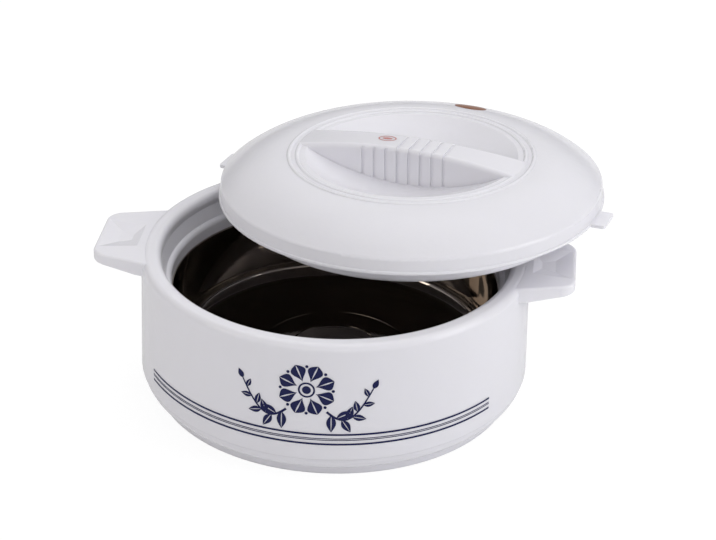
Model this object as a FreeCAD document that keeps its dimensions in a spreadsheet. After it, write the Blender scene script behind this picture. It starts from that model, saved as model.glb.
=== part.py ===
import FreeCAD, Part
import math
import os

import Sketcher

# Insulated chapati casserole: a double-walled pot with a pressed steel bowl, and
# a lift-off lid. Millimetres. The origin is the centre of the foot's resting
# plane, +Z is up, +X runs along the two handles, -Y is the decorated front.

SIZES = {
    # pot
    "body_radius": (121.0, "outside radius of the pot's wall at the rim"),
    "body_flare": (1.6, "how much wider the wall is at its lower edge"),
    "body_height": (92.0, "top of the rim above the table"),
    "wall": (2.4, "thickness of the moulded plastic walls"),
    "lip_width": (12.3, "rim width, from the wall's outside to the mouth"),
    "lip_round": (4.4, "rounding of the rim's two upper corners"),
    "lip_drop": (7.4, "depth of the rim's inner face"),
    "skirt_height": (15.0, "lower edge of the shell above the table"),
    "skirt_round": (0.8, "rounding of the shell's lower edge"),
    # base
    "base_corner": (9.0, "rounding under the wall"),
    "foot_inset": (7.4, "foot ring's outside, in from the wall's outside"),
    "foot_height": (6.0, "height of the foot ring"),
    "foot_width": (3.6, "width of the foot ring's resting face"),
    "base_rise": (3.6, "gap between the table and the base plate"),
    "foot_draft": (0.8, "how much the foot ring widens upwards"),
    "spigot_height": (5.0, "base rim that stands up inside the shell"),
    "spigot_gap": (0.35, "clearance between that rim and the shell"),
    "rib_ring_radius": (70.0, "stiffening ring under the base plate"),
    # mouth
    "collar_depth": (25.0, "foot of the inner collar below the rim's top"),
    "collar_wall": (2.0, "thickness of the inner collar"),
    "collar_taper": (2.9, "how much the collar's upper band narrows"),
    "collar_flange": (4.5, "width of the flange tucked under the lip"),
    "ledge_depth": (15.6, "start of the ledge below the rim's top"),
    "ledge_width": (3.2, "how far the ledge stands in"),
    "ledge_round": (3.4, "rounding of the ledge"),
    # steel bowl
    "bowl_wall": (0.8, "sheet thickness of the steel bowl"),
    "bowl_set_in": (0.8, "how far the steel stands inside the collar's foot"),
    "bowl_bend": (0.8, "bend radius under the bowl's turned-out edge"),
    "bowl_floor": (19.0, "inside floor of the bowl above the table"),
    "bowl_corner": (10.5, "inside corner rounding of the bowl"),
    "bowl_flange": (4.6, "width of the bowl's turned-out edge"),
    "ring_wide_radius": (48.0, "outer pressed ring in the bowl's floor"),
    "ring_small_radius": (29.0, "inner pressed ring in the bowl's floor"),
    "ring_rise": (1.2, "height of each pressed ring"),
    "ring_slope": (2.4, "width of each pressed ring's slope"),
    # handles
    "handle_length": (28.3, "how far a handle stands out from the wall"),
    "handle_root_width": (70.2, "width of a handle at the wall"),
    "handle_tip_width": (55.4, "width of a handle at its tip"),
    "handle_corner": (11.0, "rounding of a handle's outer corners"),
    "handle_sink": (0.2, "top of a handle below the rim's top"),
    "handle_root_depth": (9.4, "height of a handle's edge at the wall"),
    "handle_tip_depth": (6.0, "height of a handle's edge at the tip"),
    "handle_edge_round": (1.6, "rounding of a handle's upper edge"),
    "rest_start": (2.0, "near edge of a handle's thumb rest from the wall"),
    "rest_border": (2.4, "flat border between a thumb rest and the tip"),
    "rest_near_width": (29.0, "width of a thumb rest near the wall"),
    "rest_far_width": (37.0, "width of a thumb rest near the tip"),
    "rest_depth": (2.0, "depth of a thumb rest"),
    "rest_near_slope": (5.5, "width of a thumb rest's slope near the wall"),
    "rest_far_slope": (10.0, "width of a thumb rest's slope near the tip"),
    "rest_side_slope": (11.0, "width of a thumb rest's slopes at its sides"),
    "web_count": (3.0, "stiffening webs under a handle"),
    "web_thickness": (1.8, "thickness of a stiffening web"),
    # lid
    "lid_overhang": (1.6, "how far the lid's lip stands out past the pot's wall"),
    "lid_lip_height": (2.4, "height of the lid's lip"),
    "lid_lip_round": (0.8, "rounding of the lip's outer corners"),
    "band_height": (10.1, "top of the lid's upright band above its lip"),
    "band_draft": (1.4, "how much the band leans in"),
    "shoulder_round": (2.6, "rounding between band and dome"),
    "dome_height": (26.1, "crown of the dome above the lip"),
    "recess_radius": (67.6, "edge of the finger recess"),
    "recess_depth": (17.2, "depth of the finger recess"),
    "bead_margin": (4.8, "middle of the inner raised ring outside the recess"),
    "bead_spacing": (5.2, "distance between the two raised rings"),
    "bead_width": (3.0, "width of a raised ring"),
    "bead_rise": (0.9, "height of a raised ring"),
    "tab_width": (21.0, "width of a thumb tab on the lid's lip"),
    "tab_reach": (8.2, "how far a thumb tab stands out"),
    "tab_thickness": (2.0, "thickness of a thumb tab"),
    "tab_round": (2.0, "rounding of a thumb tab's corners"),
    # lid grip
    "grip_width": (23.0, "width of the grip across the recess"),
    "grip_end_width": (28.0, "width of the grip where it meets the rings"),
    "grip_rise": (7.4, "top of the grip above the dome's crown"),
    "grip_end_rise": (0.9, "end of the grip above the dome's crown"),
    "grip_round": (3.0, "rounding of the grip's upper edges"),
    "groove_count": (8.0, "finger grooves in the grip"),
    "groove_pitch": (7.74, "distance between finger grooves"),
    "groove_shift": (1.2, "how far the row of grooves sits to the left of the middle"),
    "groove_width": (2.2, "width of a finger groove"),
    "groove_depth": (0.8, "depth of a finger groove"),
    "groove_stop": (0.4, "how far a finger groove ends above the recess"),
    # underside of the lid
    "plug_depth": (13.0, "how far the lid reaches down into the mouth"),
    "plug_gap": (1.6, "clearance between the lid's plug and the collar"),
    "plug_taper": (1.6, "how much the plug narrows downwards"),
    "plug_round": (2.8, "rounding of the plug's lower corner"),
    "plug_inner_round": (0.4, "rounding of that corner inside the moulding"),
    "plug_rim_width": (10.0, "flat border under the plug"),
    "plug_dish": (2.0, "rise of the plug's underside inside its border"),
    # foam stoppers
    "stopper_radius": (9.0, "shank radius of a foam filling stopper"),
    "stopper_head": (12.5, "head radius of a foam filling stopper"),
    "stopper_head_height": (1.4, "head height of a foam filling stopper"),
    "fit_gap": (0.15, "clearance between moulded pieces that fit together"),
    "overrun": (5.0, "how far hidden and cutting outlines run past a surface"),
    # where the lifted lid lies
    "lid_aside": (42.1, "lid's middle towards the right handle"),
    "lid_back": (49.8, "lid's middle behind the pot's middle"),
    "lid_rest_gap": (0.2, "clearance between the lid's plug and the rim it lies on"),
    "lid_yaw": (-16.0, "turn of the lid's grip from the handles, degrees"),
    "lid_pitch": (-2.3, "lean of the lid along its grip, degrees"),
    "lid_roll": (-1.6, "lean of the lid across its grip, degrees"),
}

SIDES = (1, -1)
GROOVES_UNDER_PAD = 3
SAME = 0.01
NEAR = 1.0


class Size:
    """A length together with the sheet formula that gives it."""

    def __init__(self, number, formula):
        self.number = float(number)
        self.formula = formula

    def _join(self, other, sign, number):
        return Size(number, f"({self.formula} {sign} {plain(other).formula})")

    def __add__(self, other):
        return self._join(other, "+", self.number + plain(other).number)

    def __sub__(self, other):
        return self._join(other, "-", self.number - plain(other).number)

    def __mul__(self, other):
        return self._join(other, "*", self.number * plain(other).number)

    def __truediv__(self, other):
        return self._join(other, "/", self.number / plain(other).number)

    def __radd__(self, other):
        return plain(other) + self

    def __rsub__(self, other):
        return plain(other) - self

    def __rmul__(self, other):
        return plain(other) * self

    def __neg__(self):
        return self * -1


def plain(value):
    """A plain number as a Size, and a Size as itself."""
    if isinstance(value, Size):
        return value
    return Size(value, f"({value})")


def root(value):
    """Square root of a Size."""
    return Size(math.sqrt(value.number), f"sqrt({value.formula})")


def cosine(angle):
    """Cosine of a Size that holds degrees."""
    return Size(math.cos(math.radians(angle.number)), f"cos({angle.formula} * 1deg)")


def arc_radius(half_chord, rise):
    """Radius of the arc that rises by rise over a chord of twice half_chord."""
    return (half_chord * half_chord + rise * rise) / (2 * rise)


def arc_drop(radius, across):
    """How far an arc's top has fallen at a distance across from its middle."""
    return radius - root(radius * radius - across * across)


doc = FreeCAD.newDocument("chapati_casserole")
sheet = doc.addObject("Spreadsheet::Sheet", "Sizes")
for row, (name, (number, meaning)) in enumerate(SIZES.items(), start=1):
    sheet.set(f"A{row}", meaning)
    sheet.set(f"B{row}", str(number))
    sheet.setAlias(f"B{row}", name)
doc.recompute()


def size(name):
    """One driving dimension of the sheet."""
    return Size(sheet.get(name), f"Sizes.{name}")


# ---------------------------------------------------------------- sketches


def new_body(label):
    """An empty body for one piece."""
    body = doc.addObject("PartDesign::Body", label)
    body.Label = label
    return body


def new_sketch(body, name, plane):
    """A sketch on one of the body's own planes: XY, XZ or YZ."""
    sketch = body.newObject("Sketcher::SketchObject", name)
    origin_plane = [item for item in body.Origin.OriginFeatures if item.Role == plane + "_Plane"]
    sketch.AttachmentSupport = [(origin_plane[0], "")]
    sketch.MapMode = "FlatFace"
    return sketch


def pin(sketch, edge, end, across, up):
    """Holds one end of an edge at a place that the sheet gives."""
    for kind, axis, value in (("DistanceX", -2, plain(across)), ("DistanceY", -1, plain(up))):
        if value.number == 0:
            sketch.addConstraint(Sketcher.Constraint("PointOnObject", edge, end, axis))
        else:
            held = Sketcher.Constraint(kind, -1, 1, edge, end, value.number)
            index = sketch.addConstraint(held)
            sketch.setExpression(f"Constraints[{index}]", value.formula)


def arc_through(start, end, radius):
    """Arc from start to end that turns left for a positive radius."""
    chord = end - start
    reach = abs(radius)
    middle = (start + end) * 0.5
    offset = math.sqrt(max(reach * reach - chord.Length * chord.Length / 4, 0.0))
    sideways = FreeCAD.Vector(-chord.y, chord.x, 0).normalize()
    centre = middle + sideways * offset * math.copysign(1, radius)
    first, last = (start, end) if radius > 0 else (end, start)
    turn_from = math.atan2(first.y - centre.y, first.x - centre.x)
    turn_to = math.atan2(last.y - centre.y, last.x - centre.x)
    circle = Part.Circle(centre, FreeCAD.Vector(0, 0, 1), reach)
    return Part.ArcOfCircle(circle, turn_from, turn_to)


def draw_outline(sketch, corners):
    """Closed outline through corners: (across, up), or (across, up, radius)
    where the edge that arrives there is an arc. A positive radius turns left."""
    places = [FreeCAD.Vector(plain(corner[0]).number, plain(corner[1]).number, 0) for corner in corners]
    edges = []
    for index, corner in enumerate(corners):
        start = places[index - 1]
        end = places[index]
        if len(corner) == 2:
            edge = sketch.addGeometry(Part.LineSegment(start, end))
            edges.append((edge, 1, 2))
        else:
            radius = plain(corner[2])
            edge = sketch.addGeometry(arc_through(start, end, radius.number))
            held = sketch.addConstraint(Sketcher.Constraint("Radius", edge, abs(radius.number)))
            sketch.setExpression(f"Constraints[{held}]", f"abs({radius.formula})")
            edges.append((edge, 1, 2) if radius.number > 0 else (edge, 2, 1))
    for index, (edge, _, end) in enumerate(edges):
        following, start, _ = edges[(index + 1) % len(edges)]
        sketch.addConstraint(Sketcher.Constraint("Coincident", edge, end, following, start))
        pin(sketch, edge, end, corners[index][0], corners[index][1])


def box_corners(left, right, low, high):
    """Corners of an upright rectangle."""
    return [(left, low), (right, low), (right, high), (left, high)]


# ---------------------------------------------------------------- features


def turned(body, name, corners, cut=False):
    """The outline in the XZ plane turned about the Z axis, added or cut."""
    sketch = new_sketch(body, name + "_outline", "XZ")
    draw_outline(sketch, corners)
    kind = "PartDesign::Groove" if cut else "PartDesign::Revolution"
    feature = body.newObject(kind, name)
    feature.Profile = sketch
    feature.ReferenceAxis = (sketch, ["V_Axis"])
    feature.Angle = 360
    return settle(body, feature)


def extruded(body, name, plane, outlines, length, start=None, cut=False, both_ways=False):
    """Outlines on one of the body's planes, pushed up from a start height, or
    both ways from the plane; added to the body or cut out of it."""
    sketch = new_sketch(body, name + "_outline", plane)
    if start is not None:
        sketch.setExpression("AttachmentOffset.Base.z", plain(start).formula)
    for corners in outlines:
        draw_outline(sketch, corners)
    kind = "PartDesign::Pocket" if cut else "PartDesign::Pad"
    feature = body.newObject(kind, name)
    feature.Profile = sketch
    feature.setExpression("Length", plain(length).formula)
    if both_ways:
        feature.SideType = "Symmetric"
    elif cut:
        feature.Reversed = True
    return settle(body, feature)


def rounded(body, name, radius, chosen):
    """Rounds the edges of the body's last feature that the test picks."""
    base = body.Tip
    names = [f"Edge{index}" for index, edge in enumerate(base.Shape.Edges, start=1) if chosen(edge)]
    if not names:
        raise RuntimeError(f"{body.Label}: no edge for {name}")
    feature = body.newObject("PartDesign::Fillet", name)
    feature.Base = (base, names)
    feature.setExpression("Radius", plain(radius).formula)
    return settle(body, feature)


def settle(body, feature):
    """Makes a feature the body's last one and recomputes."""
    body.Tip = feature
    doc.recompute()
    if "Invalid" in feature.State or "Error" in feature.State or feature.Shape.isNull():
        raise RuntimeError(f"{body.Label}: {feature.Label} failed: {feature.State}")
    return feature

# ------------------------------------------------------- shared places

body_radius = size("body_radius")
body_height = size("body_height")
wall = size("wall")
fit_gap = size("fit_gap")
overrun = size("overrun")
skirt_height = size("skirt_height")
lower_radius = body_radius + size("body_flare")
mouth_radius = body_radius - size("lip_width")
lip_foot = body_height - size("lip_drop")
lip_round = size("lip_round")

collar_narrow_radius = mouth_radius - size("collar_taper")
collar_foot_radius = collar_narrow_radius - size("ledge_width")
collar_foot = body_height - size("collar_depth")
collar_wall = size("collar_wall")
collar_flange_under = lip_foot - collar_wall
ledge_top = body_height - size("ledge_depth")
ledge_foot = ledge_top - size("ledge_round")
ledge_back = ledge_top - collar_wall / 2
ledge_back_foot = ledge_foot - collar_wall / 2

bowl_radius = collar_foot_radius - size("bowl_set_in")
bowl_edge_radius = bowl_radius + size("bowl_flange")
bowl_wall = size("bowl_wall")
bowl_floor = size("bowl_floor")
bowl_corner = size("bowl_corner")
bowl_bend = size("bowl_bend")

foot_radius = body_radius - size("foot_inset")
base_corner = size("base_corner")
foot_inner_radius = foot_radius - size("foot_width")
base_under = size("base_rise")
base_top = base_under + wall
spigot_radius = lower_radius - wall - size("spigot_gap")
spigot_top = skirt_height + size("spigot_height")
tray_inside = spigot_radius - wall

handle_reach = body_radius + size("handle_length")
handle_top = body_height - size("handle_sink")
handle_depth = size("handle_root_depth")
rest_floor = handle_top - size("rest_depth")
rest_near = body_radius + size("rest_start")
rest_far = handle_reach - size("rest_border")
hollow_ceiling = rest_floor - wall

lid_radius = body_radius + size("lid_overhang")
lid_lip = size("lid_lip_height")
skirt_radius = lid_radius - wall
band_height = size("band_height")
band_radius = lid_radius - size("band_draft")
dome_height = size("dome_height")
recess_radius = size("recess_radius")
inner_bead_radius = recess_radius + size("bead_margin")
outer_bead_radius = inner_bead_radius + size("bead_spacing")
dome_edge = outer_bead_radius + size("bead_width") / 2
recess_depth = size("recess_depth")
recess_bottom = dome_height - recess_depth
recess_curve = arc_radius(recess_radius, recess_depth)

grip_half = size("grip_width") / 2
grip_end_half = size("grip_end_width") / 2
grip_reach = inner_bead_radius
grip_top = dome_height + size("grip_rise")
grip_end_top = dome_height + size("grip_end_rise")
grip_arch = arc_radius(grip_reach, grip_top - grip_end_top)
grip_waist = arc_radius(grip_reach, grip_end_half - grip_half)

plug_top_radius = mouth_radius - size("plug_gap")
plug_radius = plug_top_radius - size("plug_taper")
plug_round = size("plug_round")
plug_inner_round = size("plug_inner_round")
plug_bottom = -size("plug_depth")
plug_under = plug_bottom + size("plug_dish")
plug_dish_radius = plug_radius - size("plug_rim_width")
stopper_radius = size("stopper_radius")
stopper_hole = stopper_radius + fit_gap

ON_AXIS = plain(0)
TABLE = plain(0)
LIP_LEVEL = plain(0)

upright = cosine(size("lid_pitch")) * cosine(size("lid_roll"))
lean = root(1 - upright * upright)
lid_rise = size("plug_depth") * upright + (plug_radius - plug_round) * lean
lid_level = body_height + lid_rise + size("lid_rest_gap")
LID_PLACE = (
    f"placement(vector(Sizes.lid_aside * 1mm; Sizes.lid_back * 1mm; {lid_level.formula} * 1mm);"
    " rotation(Sizes.lid_yaw; Sizes.lid_pitch; Sizes.lid_roll))"
)


# ---------------------------------------------------------------- the pot


def handle_plan(side, root_across, margin):
    """Plan of the handle on one side, kept a margin inside its edge: a
    trapezium whose two outer corners are rounded tangent to their sides."""
    lean = (size("handle_root_width") - size("handle_tip_width")) / (2 * (handle_reach - body_radius))
    slant = root(1 + lean * lean)
    tip_half = size("handle_tip_width") / 2 - margin
    reach = handle_reach - margin
    root_half = tip_half + lean * (reach - root_across)
    corner = size("handle_corner") - margin / 2
    tangent = corner * (slant - lean)
    bend = reach - tangent / slant
    bend_half = tip_half + tangent * lean / slant
    return [
        (side * root_across, -root_half),
        (side * bend, -bend_half),
        (side * reach, tangent - tip_half, side * corner),
        (side * reach, tip_half - tangent),
        (side * bend, bend_half, side * corner),
        (side * root_across, root_half),
    ]


def both_handles(root_across, margin):
    """The plans of the two handles."""
    return [handle_plan(side, root_across, margin) for side in SIDES]


def level_at(edge, height):
    """Whether an edge lies flat at a height."""
    box = edge.BoundBox
    return abs(box.ZMin - height.number) < SAME and box.ZLength < SAME


def far_side(edge):
    """How far an edge reaches to the right or left of the middle."""
    return max(edge.BoundBox.XMax, -edge.BoundBox.XMin)


def make_handle_plates(shell):
    """Handle plates, level on top and rising underneath towards the tip."""
    extruded(shell, "handle_plates", "XY", both_handles(mouth_radius, plain(0)),
             handle_depth, start=handle_top - handle_depth)
    beyond = handle_reach + overrun
    tip_under = handle_top - size("handle_tip_depth")
    root_under = handle_top - handle_depth
    slopes = [
        [
            (side * body_radius, root_under),
            (side * body_radius, root_under - overrun),
            (side * beyond, root_under - overrun),
            (side * beyond, tip_under),
            (side * handle_reach, tip_under),
        ]
        for side in SIDES
    ]
    extruded(shell, "handle_undersides", "XZ", slopes, size("handle_root_width") + overrun,
             cut=True, both_ways=True)

    def upper_edge(edge):
        return level_at(edge, handle_top) and far_side(edge) > mouth_radius.number + NEAR

    rounded(shell, "handle_edges", size("handle_edge_round"), upper_edge)


def rest_plan(side, near_inset, far_inset, side_inset):
    """Plan of the thumb rest in the handle on one side, drawn in from its rim."""
    near = rest_near + near_inset
    far = rest_far - far_inset
    near_half = size("rest_near_width") / 2 - side_inset
    far_half = size("rest_far_width") / 2 - side_inset
    return [
        (side * near, -near_half),
        (side * far, -far_half),
        (side * far, far_half),
        (side * near, near_half),
    ]


def make_thumb_rests(shell):
    """Thumb rest in the top of each handle: a shallow hopper with sloping sides."""
    for side, place in zip(SIDES, ("right", "left")):
        rim = new_sketch(shell, f"rest_rim_{place}", "XY")
        rim.setExpression("AttachmentOffset.Base.z", handle_top.formula)
        draw_outline(rim, rest_plan(side, plain(0), plain(0), plain(0)))
        floor = new_sketch(shell, f"rest_floor_{place}", "XY")
        floor.setExpression("AttachmentOffset.Base.z", rest_floor.formula)
        draw_outline(floor, rest_plan(side, size("rest_near_slope"), size("rest_far_slope"),
                                      size("rest_side_slope")))
        hopper = shell.newObject("PartDesign::SubtractiveLoft", f"thumb_rest_{place}")
        hopper.Profile = rim
        hopper.Sections = [floor]
        hopper.Ruled = True
        settle(shell, hopper)


def make_handle_hollows(shell):
    """Hollow underside of each handle, stiffened by webs along it."""
    root_across = body_radius - overrun
    extruded(shell, "handle_hollows", "XY", both_handles(root_across, wall),
             handle_depth, start=hollow_ceiling - handle_depth, cut=True)
    web_count = int(sheet.get("web_count"))
    spacing = size("handle_tip_width") / (size("web_count") + 1)
    half = size("web_thickness") / 2
    webs = []
    for side in SIDES:
        for index in range(web_count):
            middle = spacing * (index - (web_count - 1) / 2)
            webs.append(box_corners(side * root_across, side * (handle_reach - wall / 2),
                                    middle - half, middle + half))
    web_top = hollow_ceiling + wall / 2
    web_depth = web_top - (handle_top - size("handle_tip_depth"))
    extruded(shell, "handle_webs", "XY", webs, web_depth, start=web_top - web_depth)


def make_outer_shell():
    """Wall, rolled rim and both handles in one moulding."""
    shell = new_body("outer_shell")
    make_handle_plates(shell)
    make_thumb_rests(shell)
    make_handle_hollows(shell)
    inside = box_corners(ON_AXIS, body_radius - wall, TABLE, body_height + overrun)
    turned(shell, "clear_inside", inside, cut=True)
    edge_round = size("skirt_round")
    turned(shell, "wall_and_rim", [
        (lower_radius - wall, skirt_height),
        (lower_radius - edge_round, skirt_height),
        (lower_radius, skirt_height + edge_round, edge_round),
        (body_radius, body_height - lip_round),
        (body_radius - lip_round, body_height, lip_round),
        (mouth_radius + lip_round, body_height),
        (mouth_radius, body_height - lip_round, lip_round),
        (mouth_radius, lip_foot),
        (mouth_radius + wall, lip_foot),
        (mouth_radius + wall, body_height - lip_round),
        (mouth_radius + lip_round, body_height - wall, wall - lip_round),
        (body_radius - lip_round, body_height - wall),
        (body_radius - wall, body_height - lip_round, wall - lip_round),
    ])
    return shell


def make_rim_collar():
    """Inner ring of the mouth: a flange held under the rolled rim, a narrowing
    band, a rounded ledge and a foot that holds the bowl's edge down."""
    collar = new_body("rim_collar")
    ledge_round = size("ledge_round")
    flange_radius = mouth_radius + size("collar_flange")
    turned(collar, "bands_and_ledge", [
        (collar_foot_radius, collar_foot),
        (collar_foot_radius + collar_wall, collar_foot),
        (collar_foot_radius + collar_wall, ledge_back_foot),
        (collar_narrow_radius + collar_wall, ledge_back, -ledge_round),
        (mouth_radius + collar_wall, collar_flange_under),
        (flange_radius, collar_flange_under),
        (flange_radius, lip_foot),
        (mouth_radius, lip_foot),
        (collar_narrow_radius, ledge_top),
        (collar_foot_radius, ledge_foot, ledge_round),
    ])
    return collar


def bowl_line(shift):
    """Bowl's floor and corner from the axis outwards, moved out by shift."""
    slope = size("ring_slope")
    rise = size("ring_rise")
    wide = size("ring_wide_radius")
    small = size("ring_small_radius")
    floor = bowl_floor - shift
    return [
        (ON_AXIS, floor + rise * 2),
        (small - slope, floor + rise * 2),
        (small, floor + rise),
        (wide - slope, floor + rise),
        (wide, floor),
        (bowl_radius - bowl_corner, floor),
        (bowl_radius + shift, bowl_floor + bowl_corner, bowl_corner + shift),
    ]


def backwards(line):
    """A line of corners walked the other way, its arcs turning the other way."""
    walked = []
    for index in range(len(line) - 1, -1, -1):
        corner = line[index][:2]
        if index + 1 < len(line) and len(line[index + 1]) == 3:
            corner = corner + (-line[index + 1][2],)
        walked.append(corner)
    return walked


def make_steel_bowl():
    """Pressed bowl with a stepped floor and a turned-out edge."""
    bowl = new_body("steel_bowl")
    turned(bowl, "pressed_sheet", bowl_line(bowl_wall) + [
        (bowl_radius + bowl_wall, collar_foot - bowl_wall - bowl_bend / 2),
        (bowl_radius + bowl_wall + bowl_bend / 2, collar_foot - bowl_wall, -bowl_bend / 2),
        (bowl_edge_radius, collar_foot - bowl_wall),
        (bowl_edge_radius, collar_foot),
        (bowl_radius + bowl_bend, collar_foot),
        (bowl_radius, collar_foot - bowl_bend, bowl_bend),
    ] + backwards(bowl_line(plain(0))))
    return bowl


def make_body_foam():
    """Insulation between the shell, the collar, the bowl and the base tray."""
    foam = new_body("body_foam")
    skin = wall + fit_gap
    turned(foam, "poured_foam", [
        (ON_AXIS, base_top),
        (foot_inner_radius, base_top),
        (tray_inside, skirt_height, base_corner),
        (tray_inside, spigot_top),
        (lower_radius - skin, spigot_top),
        (body_radius - skin, collar_flange_under),
        (mouth_radius + collar_wall + fit_gap, collar_flange_under),
        (collar_narrow_radius + collar_wall + fit_gap, ledge_back),
        (collar_foot_radius + collar_wall + fit_gap, ledge_back_foot, size("ledge_round")),
        (collar_foot_radius + collar_wall + fit_gap, collar_foot),
        (bowl_edge_radius, collar_foot),
        (bowl_edge_radius, collar_foot - bowl_wall),
        (bowl_radius + bowl_wall + bowl_bend / 2, collar_foot - bowl_wall),
        (bowl_radius + bowl_wall, collar_foot - bowl_wall - bowl_bend / 2, bowl_bend / 2),
    ] + backwards(bowl_line(bowl_wall)))
    return foam


def make_base_cover():
    """Base tray: a rim inside the shell, a rounded corner, the foot ring, a
    stiffening ring and the foam filling hole."""
    base = new_body("base_cover")
    turned(base, "tray", [
        (ON_AXIS, base_under),
        (foot_inner_radius, base_under),
        (foot_inner_radius, TABLE),
        (foot_radius, TABLE),
        (foot_radius + size("foot_draft"), size("foot_height")),
        (lower_radius - size("skirt_round"), skirt_height, base_corner),
        (spigot_radius, skirt_height),
        (spigot_radius, spigot_top),
        (tray_inside, spigot_top),
        (tray_inside, skirt_height),
        (foot_inner_radius, base_top, -base_corner),
        (ON_AXIS, base_top),
    ])
    ring = size("rib_ring_radius")
    turned(base, "stiffening_ring",
           box_corners(ring - wall / 2, ring + wall / 2, base_under / 2, base_top))
    hole = box_corners(ON_AXIS, stopper_hole, TABLE, base_top + overrun)
    turned(base, "filling_hole", hole, cut=True)
    return base


def make_stopper(label, plate_under):
    """Stopper of a foam filling hole: a domed head below the plate and a shank
    as long as the plate is thick."""
    stopper = new_body(label)
    head = size("stopper_head")
    thickness = size("stopper_head_height")
    turned(stopper, "head_and_shank", [
        (ON_AXIS, plate_under - thickness),
        (head - thickness, plate_under - thickness),
        (head, plate_under, thickness),
        (stopper_radius, plate_under),
        (stopper_radius, plate_under + wall),
        (ON_AXIS, plate_under + wall),
    ])
    return stopper


# ---------------------------------------------------------------- the lid


def dome_top():
    """Top of the lid from the axis outwards: recess, raised rings, dome, band."""
    half = size("bead_width") / 2
    bead_curve = arc_radius(half, size("bead_rise"))
    shoulder = size("shoulder_round")
    flank_end = band_radius - shoulder / 2
    flank_foot = band_height + shoulder / 2
    return [
        (ON_AXIS, recess_bottom),
        (recess_radius, dome_height, recess_curve),
        (inner_bead_radius - half, dome_height),
        (inner_bead_radius + half, dome_height, -bead_curve),
        (outer_bead_radius - half, dome_height),
        (dome_edge, dome_height, -bead_curve),
        (flank_end, flank_foot, -arc_radius(flank_end - dome_edge, dome_height - flank_foot)),
        (band_radius, band_height - shoulder / 2, -shoulder),
    ]


def dome_inside():
    """Inside of the lid's wall from the axis outwards, down to its lip."""
    crown_under = dome_height - wall
    recess_edge = recess_radius + wall / 2
    flank_end = band_radius - wall
    return [
        (ON_AXIS, recess_bottom - wall),
        (recess_edge, crown_under, arc_radius(recess_edge, recess_depth)),
        (dome_edge, crown_under),
        (flank_end, band_height, -arc_radius(flank_end - dome_edge, crown_under - band_height)),
        (skirt_radius, lid_lip),
    ]


def grip_core():
    """Side view of the hollow inside the grip, which opens into the cavity."""
    reach = recess_radius - wall
    return [
        (-reach, recess_bottom - overrun),
        (reach, recess_bottom - overrun),
        (reach, grip_end_top - wall),
        (-reach, grip_end_top - wall, arc_radius(reach, grip_top - grip_end_top)),
    ]


def make_grip_bar(cover):
    """Bar across the recess, waisted in plan and arched from the side."""
    extruded(cover, "grip_bar", "XY", [[
        (-grip_reach, -grip_end_half),
        (grip_reach, -grip_end_half, -grip_waist),
        (grip_reach, grip_end_half),
        (-grip_reach, grip_end_half, -grip_waist),
    ]], grip_top + overrun - recess_bottom + wall, start=recess_bottom - wall)
    above = grip_top + overrun * 2
    extruded(cover, "grip_arch", "XZ", [[
        (-grip_reach, above),
        (-grip_reach, grip_end_top),
        (grip_reach, grip_end_top, -grip_arch),
        (grip_reach, above),
    ]], (grip_end_half + overrun) * 2, cut=True, both_ways=True)

    def along_the_top(edge):
        box = edge.BoundBox
        aside = min(abs(box.YMin), abs(box.YMax)) > grip_half.number - SAME
        return box.XLength > grip_reach.number and aside and box.ZMin > grip_end_top.number - SAME

    rounded(cover, "grip_edges", size("grip_round"), along_the_top)


def make_grip_groove(cover, index, across):
    """One finger groove, a channel of even depth over the grip's top and down
    both sides, or down the sides only where the smooth thumb pad covers it."""
    middle = size("groove_pitch") * (index - (int(sheet.get("groove_count")) - 1) / 2) - size("groove_shift")
    depth = size("groove_depth")
    half = grip_half + arc_drop(grip_waist, middle)
    inner = half - depth
    outer = half + overrun
    top = grip_top - arc_drop(grip_arch, middle)
    floor = recess_bottom + arc_drop(recess_curve, root(middle * middle + half * half))
    foot = floor + size("groove_stop")
    above = top + overrun
    corner = size("grip_round") - depth
    if across:
        outlines = [[
            (-outer, foot), (-inner, foot), (-inner, top - depth - corner),
            (corner - inner, top - depth, -corner), (inner - corner, top - depth),
            (inner, top - depth - corner, -corner), (inner, foot), (outer, foot),
            (outer, above), (-outer, above),
        ]]
    else:
        outlines = [box_corners(inner, outer, foot, above), box_corners(-outer, -inner, foot, above)]
    extruded(cover, f"groove_{index + 1}", "YZ", outlines, size("groove_width"),
             start=middle, cut=True, both_ways=True)


def make_tabs(cover):
    """Thumb tabs on the lip, in line with the grip."""
    half = size("tab_width") / 2
    root_across = lid_radius - wall / 2
    reach = lid_radius + size("tab_reach")
    corner = size("tab_round")
    outlines = []
    for side in SIDES:
        outlines.append([
            (side * root_across, -half),
            (side * (reach - corner), -half),
            (side * reach, corner - half, side * corner),
            (side * reach, half - corner),
            (side * (reach - corner), half, side * corner),
            (side * root_across, half),
        ])
    extruded(cover, "thumb_tabs", "XY", outlines, size("tab_thickness"))


def make_lid_cover():
    """Domed lid top with its recess, ribbed grip and thumb tabs, hollow below."""
    cover = new_body("lid_cover")
    corner = size("lid_lip_round")
    make_grip_bar(cover)
    turned(cover, "dome", dome_top() + [
        (lid_radius - corner, lid_lip),
        (lid_radius, lid_lip - corner, -corner),
        (lid_radius, corner),
        (lid_radius - corner, LIP_LEVEL, -corner),
        (ON_AXIS, LIP_LEVEL),
    ])
    for index in range(int(sheet.get("groove_count"))):
        make_grip_groove(cover, index, across=index >= GROOVES_UNDER_PAD)
    turned(cover, "cavity", dome_inside() + [(skirt_radius, -overrun), (ON_AXIS, -overrun)], cut=True)
    make_tabs(cover)
    extruded(cover, "grip_hollow", "XZ", [grip_core()], (grip_half - wall) * 2,
             cut=True, both_ways=True)
    return cover


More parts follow.
